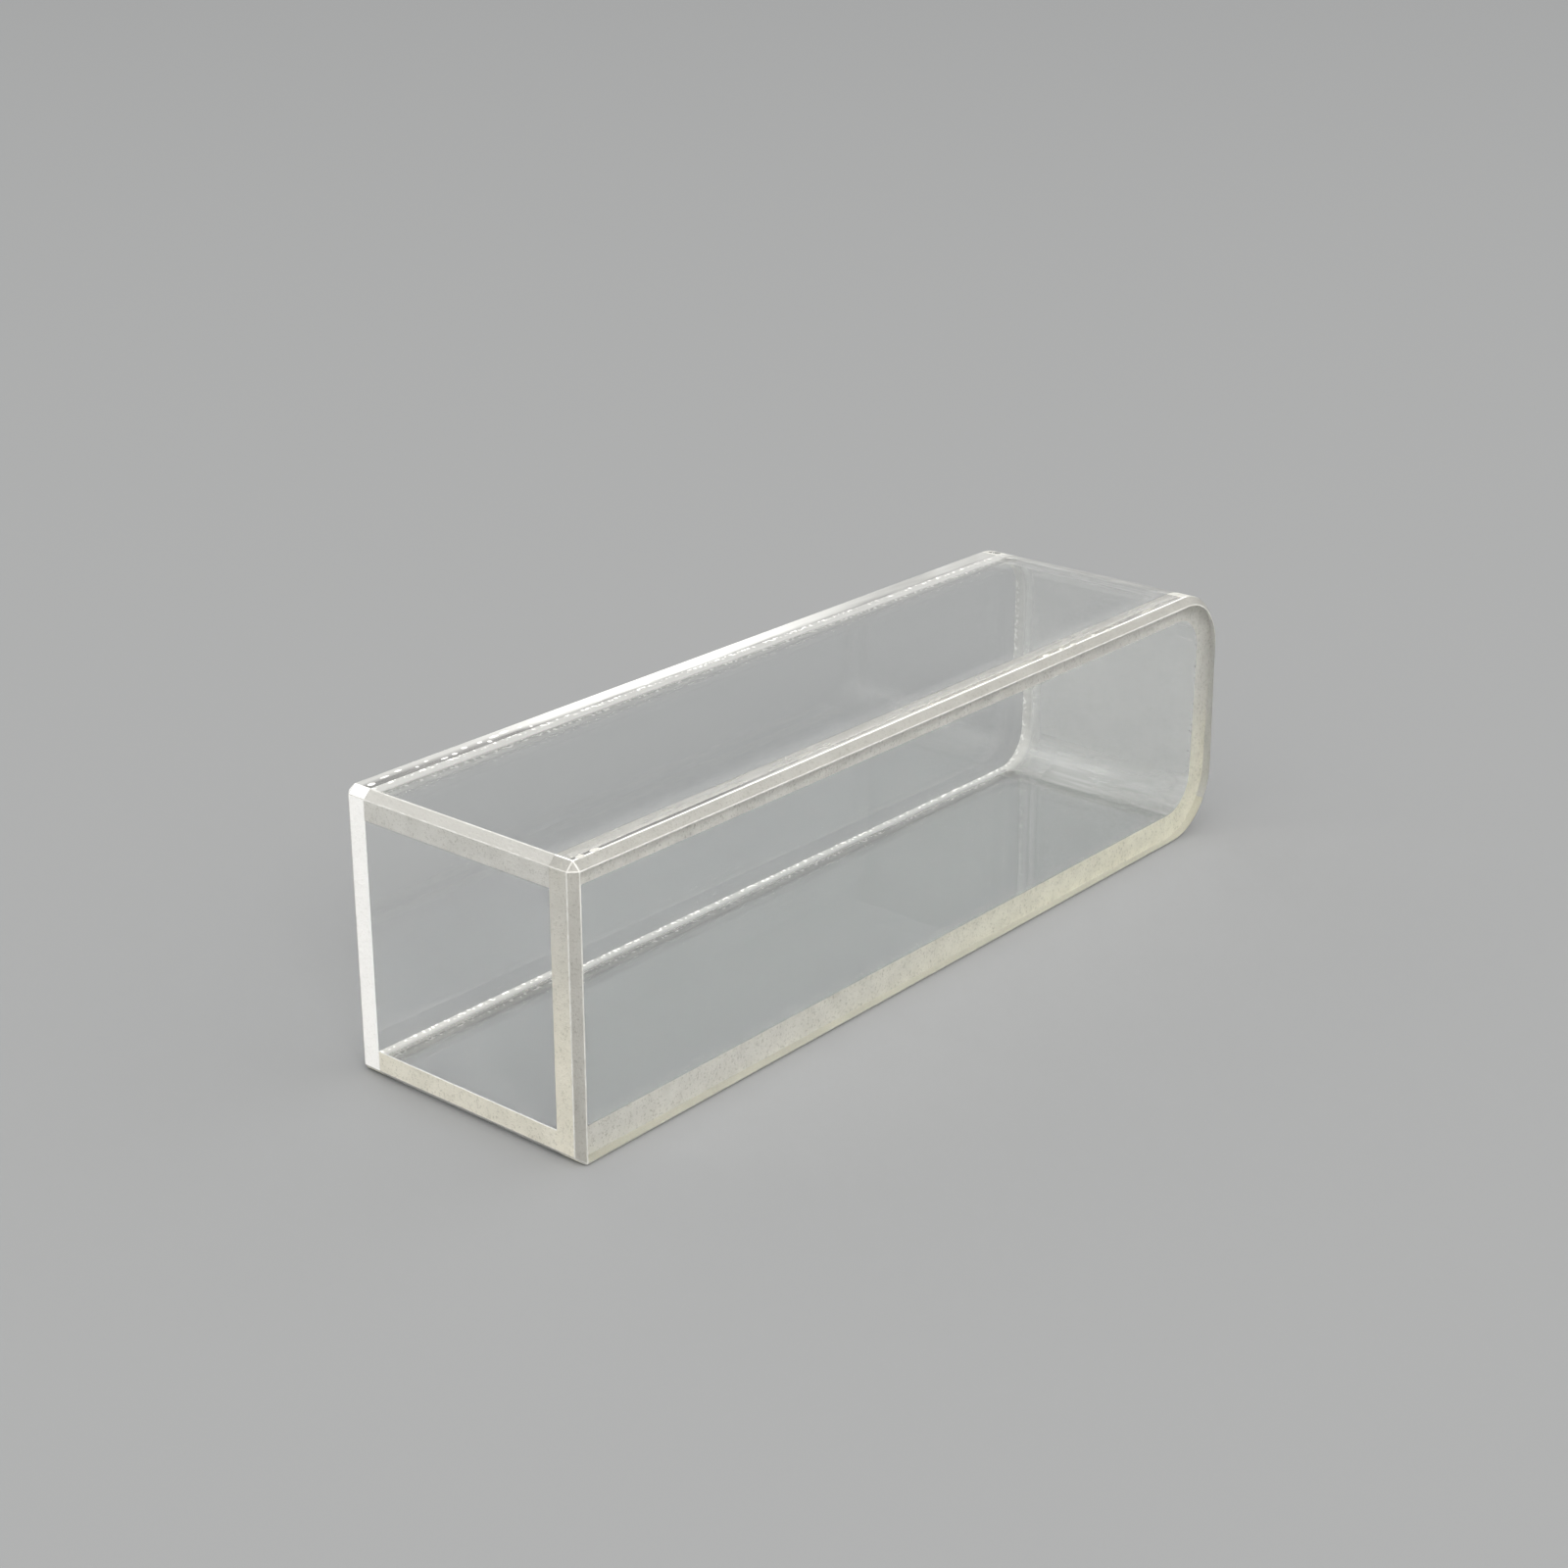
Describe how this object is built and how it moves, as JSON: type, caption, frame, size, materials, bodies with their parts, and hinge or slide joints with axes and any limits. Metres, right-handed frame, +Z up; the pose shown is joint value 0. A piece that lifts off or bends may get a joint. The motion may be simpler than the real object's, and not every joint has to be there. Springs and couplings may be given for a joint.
{
  "type": "cuvette",
  "caption": "Small square glass sample cell, open at one end, with polished flat windows fused to a U-shaped frame, rounded base corners and finely ground, bevelled edges.",
  "frame": {"origin": "on the bench, under the middle of the cell as it lies on one leg of its frame", "axes": "+Y along the cell from its open mouth to its base, +X across it from the left window to the right one, +Z up"},
  "size_m": [0.0126, 0.045, 0.0125],
  "materials": {
    "frame_glass": "clear, with a ground mouth rim and ground seams",
    "window_glass": "optically polished faces, with finely ground bevelled edges"
  },
  "bodies": {
    "root": {"frame": "frame_glass", "left_window": "window_glass", "right_window": "window_glass"}
  },
  "joints": []
}
